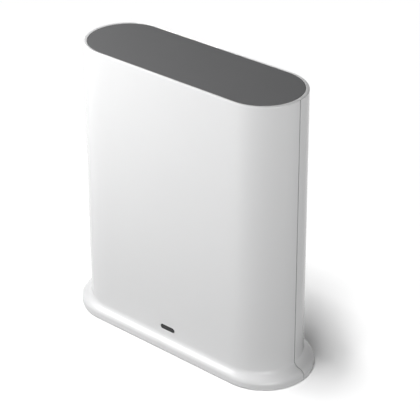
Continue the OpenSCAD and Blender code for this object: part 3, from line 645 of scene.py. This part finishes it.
def solder_mask(name, colour):
    """Green mask over copper traces, which show as paler lines."""
    material, tree, shader = new_material(name)
    place = tree.nodes.new("ShaderNodeTexCoord")
    cells = tree.nodes.new("ShaderNodeTexVoronoi")
    cells.distance = "CHEBYCHEV"
    cells.feature = "DISTANCE_TO_EDGE"
    cells.inputs["Scale"].default_value = TRACES_PER_M
    edge = tree.nodes.new("ShaderNodeMapRange")
    edge.inputs["From Min"].default_value, edge.inputs["From Max"].default_value = TRACE_EDGE
    blend = tree.nodes.new("ShaderNodeMix")
    blend.data_type = "RGBA"
    blend.inputs["A"].default_value = (*(c * k for c, k in zip(colour, TRACE_PALER)), 1.0)
    blend.inputs["B"].default_value = (*colour, 1.0)
    marks = place_group(tree, handling_marks(), Roughness=0.35, Amount=0.15)
    tree.links.new(place.outputs["Object"], cells.inputs["Vector"])
    tree.links.new(cells.outputs["Distance"], edge.inputs["Value"])
    tree.links.new(edge.outputs["Result"], blend.inputs["Factor"])
    tree.links.new(blend.outputs["Result"], shader.inputs["Base Color"])
    tree.links.new(marks.outputs["Roughness"], shader.inputs["Roughness"])
    add_bump(tree, shader, edge.outputs["Result"], TRACE_DEPTH)
    return material


# Finish of each material slot: its maker, name and colour. Mouldings then have their roughness, grains to the
# metre, grain depth in metres, drift of the tone, unevenness of the polish and gloss. Metals have their
# roughness, lines to the metre and line depth in metres. The frame's own materials have the slots'
# names, so no finish has one of these.
FINISHES = {
    "shell_white": (moulding, "gloss_white", "shell", 0.16, 350.0, 1.5e-6, 0.02, 0.06, 0.5),
    "panel_grey": (moulding, "matt_grey", "panel", 0.62, 2600.0, 2.5e-5, 0.05, 0.1, 0.25),
    "window_smoke": (moulding, "smoked_window", "window", 0.16, 500.0, 1e-6, 0.1, 0.06, 0.35),
    "base_white": (moulding, "textured_white", "base", 0.5, 2000.0, 2e-5, 0.04, 0.1, 0.5),
    "pad_rubber": (moulding, "soft_rubber", "pads", 0.75, 3000.0, 4e-5, 0.15, 0.1, 0.5),
    "steel": (metal, "plated_steel", "steel", 0.22, 2500.0, 2e-6),
    "contact_gold": (metal, "gold_plate", "gold", 0.18, 3000.0, 1e-6),
    "jack_black": (moulding, "socket_black", "jack", 0.42, 2500.0, 1.2e-5, 0.1, 0.1, 0.5),
    "board_green": (solder_mask, "solder_mask", "board"),
    "chip_black": (moulding, "package_black", "chip", 0.55, 4000.0, 1e-5, 0.12, 0.1, 0.5),
    "light_lens": (moulding, "clear_lens", "lens", 0.12, 800.0, 2e-6, 0.04, 0.1, 0.5),
    "pad_blue": (moulding, "thermal_blue", "thermal", 0.7, 2500.0, 2e-5, 0.1, 0.1, 0.5),
    "sink_aluminium": (metal, "anodised_aluminium", "aluminium", 0.35, 1800.0, 4e-6),
    "can_blue": (moulding, "sleeved_can", "can", 0.3, 900.0, 4e-6, 0.12, 0.1, 0.5),
    "lead_black": (moulding, "lead_jacket", "lead", 0.5, 2500.0, 8e-6, 0.1, 0.1, 0.5),
}


def finish(slot):
    """The finish of one of the record's material slots, made when it is first asked for."""
    sizes, tints = bpy.context.scene.station_sizes, bpy.context.scene.station_colours
    maker, name, colour, *values = FINISHES[slot]
    if name in bpy.data.materials:
        return bpy.data.materials[name]
    material = maker(name, getattr(tints, colour), *values)
    if slot == "shell_white":
        # Painted shade in the groove between the shells
        add_seam_painted_shade(material, sizes, tints.seam)
    return material


# Operators, one for each piece or group of like pieces

class STATION_OT_front_shell(Operator):
    """Loft the front shell, with its light window and its half of the seam"""

    bl_idname = "station.front_shell"
    bl_label = "Front Shell"

    def execute(self, context):
        sizes = context.scene.station_sizes
        piece = loft("front_shell_skin", housing_columns(sizes, FRONT))
        window = pill_outline(sizes.window_w, sizes.window_h, sizes.window_x, sizes.window_z)
        combine(piece, prisms("window_cut", [window], SHELL_LOW.y, -sizes.top_depth / 4), "DIFFERENCE")
        round_openings(piece, sizes)
        smooth(piece)
        dress(piece, "front_shell", finish("shell_white"))
        return {"FINISHED"}


class STATION_OT_rear_shell(Operator):
    """Loft the rear shell, with its port bay, button opening and vents"""

    bl_idname = "station.rear_shell"
    bl_label = "Rear Shell"

    def execute(self, context):
        sizes = context.scene.station_sizes
        piece = loft("rear_shell_skin", housing_columns(sizes, REAR))
        bay_w = PORT_HIGH.x - PORT_LOW.x + 2 * sizes.port_play
        bay_h = PORT_HIGH.z - PORT_LOW.z + 2 * sizes.port_play
        bay_z = (PORT_HIGH.z + PORT_LOW.z) / 2
        wall = sizes.bay_wall
        tub = corner_outline(bay_w + 2 * wall, bay_h + 2 * wall, sizes.bay_round + wall, 0.0, bay_z)
        well = corner_outline(bay_w, bay_h, sizes.bay_round, 0.0, bay_z)
        ledge = 2 * sizes.bay_ledge
        hole = corner_outline(bay_w - ledge, bay_h - ledge, sizes.bay_round - sizes.bay_ledge, 0.0, bay_z)
        outside = -SHELL_LOW.y
        inside = sizes.top_depth / 2 - sizes.wall / 2
        button_w = BUTTON_HIGH.x - BUTTON_LOW.x - 2 * sizes.button_rim + 2 * sizes.button_gap
        button_h = BUTTON_HIGH.z - BUTTON_LOW.z - 2 * sizes.button_rim + 2 * sizes.button_gap
        button = pill_outline(button_w, button_h, 0.0, (BUTTON_HIGH.z + BUTTON_LOW.z) / 2)
        first = -(sizes.vents - 1) / 2 * sizes.vent_pitch
        slots = [pill_outline(sizes.vent_w, sizes.vent_len, first + i * sizes.vent_pitch, sizes.vent_z)
                 for i in range(sizes.vents)]
        combine(piece, prisms("bay_tub", [tub], PORT_LOW.y - wall, inside), "UNION")
        combine(piece, prisms("bay_well", [well], PORT_LOW.y, outside), "DIFFERENCE")
        combine(piece, prisms("bay_hole", [hole], PORT_LOW.y - 2 * wall, inside), "DIFFERENCE")
        combine(piece, prisms("back_openings", [button, *slots], inside / 2, outside), "DIFFERENCE")
        round_openings(piece, sizes)
        smooth(piece)
        dress(piece, "rear_shell", finish("shell_white"))
        return {"FINISHED"}


class SoftenedPieces:
    """Shared work of the operators that round the edges of nodes."""

    edges = {}

    def execute(self, context):
        for node, width_mm in self.edges.items():
            slot = frame["nodes"][node].material_slots[0].name
            dress(softened(node, node + "_soft", width_mm), node, finish(slot))
        return {"FINISHED"}


class STATION_OT_top(SoftenedPieces, Operator):
    """Round the edges of the top panel and the light window"""

    bl_idname = "station.top"
    bl_label = "Top Panel and Window"
    edges = {"top_panel": 0.2, "light_pipe": 0.15}


class STATION_OT_foot(SoftenedPieces, Operator):
    """Round the edges of the base plate, its pads and its screws"""

    bl_idname = "station.foot"
    bl_label = "Foot"
    edges = {"base_plate": 0.2, "foot_pads": 0.35, "base_screws": 0.15}


class STATION_OT_ports(SoftenedPieces, Operator):
    """Round the edges of the port panel and the sockets in it"""

    bl_idname = "station.ports"
    bl_label = "Ports"
    edges = {"port_panel": 0.2, "power_jack": 0.25, "lan_shield": 0.08, "lan_insert": 0.15, "usb_shell": 0.08,
             "usb_tongue": 0.15}


class STATION_OT_button(SoftenedPieces, Operator):
    """Round the edges of the sync button"""

    bl_idname = "station.button"
    bl_label = "Sync Button"
    edges = {"sync_button": 0.35}


class STATION_OT_inside(Operator):
    """Give every node that keeps its own mesh its finish"""

    bl_idname = "station.inside"
    bl_label = "Inside Pieces"

    def execute(self, context):
        for node, piece in frame["nodes"].items():
            if not piece.hide_render:
                coat_node(node, finish(piece.material_slots[0].name))
        return {"FINISHED"}


# Studio

SENSOR_MM = 36.0
VIEW_RANGE = 50.0
# Place, side or angle, and power of each lamp. The suns light only the floor, and the boxes only the object.
SUNS = {
    "front_sun": ((0.099, -0.37, 1.0), math.radians(12), 1.08),
    "left_sun": ((-0.189, -0.065, 1.056), math.radians(8), 0.92),
    "corner_sun": ((-0.123, -0.157, 1.056), math.radians(6), 0.665),
    "middle_sun": ((-0.054, -0.253, 1.042), math.radians(8), 0.985),
}
BOXES = {
    "near_box": ((-0.18, -0.22, 0.26), 0.26, 1.03),
    "left_box": ((-0.28, -0.12, 0.3), 0.2, 0.261),
    "low_box": ((0.7, -0.6, 0.1), 0.6, 3.6),
    "right_box": ((0.36, -0.16, 0.26), 0.2, 0.4),
    "back_box": ((-0.6, 0.75, 0.075), 0.14, 5.5),
    "under_box": ((0.0, 0.0, -0.4), 0.1, 1.0),
}


def aim(thing, place, target):
    """Puts a lamp or camera at a place and points it at a target."""
    thing.location = place
    thing.rotation_euler = (Vector(target) - Vector(place)).to_track_quat("-Z", "Y").to_euler()


def seen_directly(tree):
    """A mask of the rays that look at the background: from the camera, mirrored or through clear pieces."""
    path = tree.nodes.new("ShaderNodeLightPath")
    mirrored = math_node(tree, "MAXIMUM", path.outputs["Is Camera Ray"], path.outputs["Is Glossy Ray"])
    return math_node(tree, "MAXIMUM", mirrored, path.outputs["Is Transmission Ray"])


def studio_floor(studio, colour):
    """A large pale floor that keeps the object's shadow and is clear from below."""
    mesh = bmesh.new()
    bmesh.ops.create_grid(mesh, x_segments=1, y_segments=1, size=studio.floor_side / 2)
    floor = new_piece("studio_floor", mesh)
    material = bpy.data.materials.new("pale_floor")
    material.use_nodes = True
    tree = material.node_tree
    tree.nodes.clear()
    shade = tree.nodes.new("ShaderNodeMix")
    shade.data_type = "RGBA"
    shade.inputs["A"].default_value = (studio.floor_bounce,) * 3 + (1.0,)
    shade.inputs["B"].default_value = (*colour, 1.0)
    matt = tree.nodes.new("ShaderNodeBsdfDiffuse")
    geometry = tree.nodes.new("ShaderNodeNewGeometry")
    clear = tree.nodes.new("ShaderNodeBsdfTransparent")
    from_below = tree.nodes.new("ShaderNodeMixShader")
    out = tree.nodes.new("ShaderNodeOutputMaterial")
    tree.links.new(seen_directly(tree), shade.inputs["Factor"])
    tree.links.new(shade.outputs["Result"], matt.inputs["Color"])
    tree.links.new(geometry.outputs["Backfacing"], from_below.inputs["Fac"])
    tree.links.new(matt.outputs["BSDF"], from_below.inputs[1])
    tree.links.new(clear.outputs["BSDF"], from_below.inputs[2])
    tree.links.new(from_below.outputs["Shader"], out.inputs["Surface"])
    floor.data.materials.append(material)
    return floor


def studio_world(scene):
    """A world that is white where the background is seen directly and gives no other light."""
    world = bpy.data.worlds.new("studio")
    world.use_nodes = True
    tree = world.node_tree
    sky = tree.nodes["Background"]
    sky.inputs["Color"].default_value = (1.0, 1.0, 1.0, 1.0)
    tree.links.new(seen_directly(tree), sky.inputs["Strength"])
    scene.world = world


def studio_lamps(floor):
    """Soft suns that lay the shadow on the floor, and soft boxes that light the object alone."""
    middle = (0.0, 0.0, SHELL_HIGH.z / 2)
    lit, unlit = bpy.data.collections.new("floor_lit"), bpy.data.collections.new("floor_unlit")
    for group in (lit, unlit):
        group.objects.link(floor)
    unlit.collection_objects[0].light_linking.link_state = "EXCLUDE"
    for name, (place, spread, power) in {**SUNS, **BOXES}.items():
        data = bpy.data.lights.new(name, "SUN" if name in SUNS else "AREA")
        data.energy = power
        thing = bpy.data.objects.new(name, data)
        bpy.context.scene.collection.objects.link(thing)
        aim(thing, place, middle)
        thing.visible_camera = False
        if name in SUNS:
            data.angle = spread
            thing.light_linking.receiver_collection = lit
        else:
            data.shape = "SQUARE"
            data.size = spread
            thing.light_linking.receiver_collection = unlit
        if place[2] < 0:
            # The floor doesn't block the lamp under it
            thing.light_linking.blocker_collection = unlit


def studio_camera(scene, studio):
    """A camera at the photograph's angle."""
    data = bpy.data.cameras.new("studio_camera")
    data.sensor_width = SENSOR_MM
    data.lens = studio.lens
    data.clip_end = VIEW_RANGE
    thing = bpy.data.objects.new("studio_camera", data)
    scene.collection.objects.link(thing)
    turn, level = studio.azimuth, math.cos(studio.elevation)
    back = Vector((math.sin(turn) * level, -math.cos(turn) * level, math.sin(studio.elevation)))
    aim(thing, Vector(studio.target) + studio.distance * back, studio.target)
    scene.camera = thing


class STATION_OT_stage(Operator):
    """Set up the floor, the light and the camera"""

    bl_idname = "station.stage"
    bl_label = "Studio"

    def execute(self, context):
        scene = context.scene
        floor = studio_floor(scene.station_studio, scene.station_colours.floor)
        studio_world(scene)
        studio_lamps(floor)
        studio_camera(scene, scene.station_studio)
        scene.view_settings.view_transform = "Standard"
        return {"FINISHED"}


OPERATORS = (STATION_OT_front_shell, STATION_OT_rear_shell, STATION_OT_top, STATION_OT_foot, STATION_OT_ports,
             STATION_OT_button, STATION_OT_inside, STATION_OT_stage)


class STATION_PT_sidebar(Panel):
    """Sizes, colours and steps of the base station"""

    bl_idname = "STATION_PT_sidebar"
    bl_label = "Base Station"
    bl_space_type = "VIEW_3D"
    bl_region_type = "UI"
    bl_category = "Station"

    def draw(self, context):
        scene = context.scene
        for group in (scene.station_sizes, scene.station_colours, scene.station_studio):
            box = self.layout.box()
            for name in group.__annotations__:
                box.prop(group, name)
        for operator in OPERATORS:
            self.layout.operator(operator.bl_idname)


CLASSES = (StationSizes, StationColours, StudioSettings, *OPERATORS, STATION_PT_sidebar)


def register():
    for cls in CLASSES:
        bpy.utils.register_class(cls)
    bpy.types.Scene.station_sizes = PointerProperty(type=StationSizes)
    bpy.types.Scene.station_colours = PointerProperty(type=StationColours)
    bpy.types.Scene.station_studio = PointerProperty(type=StudioSettings)


def unregister():
    del bpy.types.Scene.station_studio
    del bpy.types.Scene.station_colours
    del bpy.types.Scene.station_sizes
    for cls in reversed(CLASSES):
        bpy.utils.unregister_class(cls)


def main():
    register()
    bpy.ops.station.front_shell()
    bpy.ops.station.rear_shell()
    bpy.ops.station.top()
    bpy.ops.station.foot()
    bpy.ops.station.ports()
    bpy.ops.station.button()
    bpy.ops.station.inside()
    bpy.ops.station.stage()


if __name__ == "__main__":
    main()
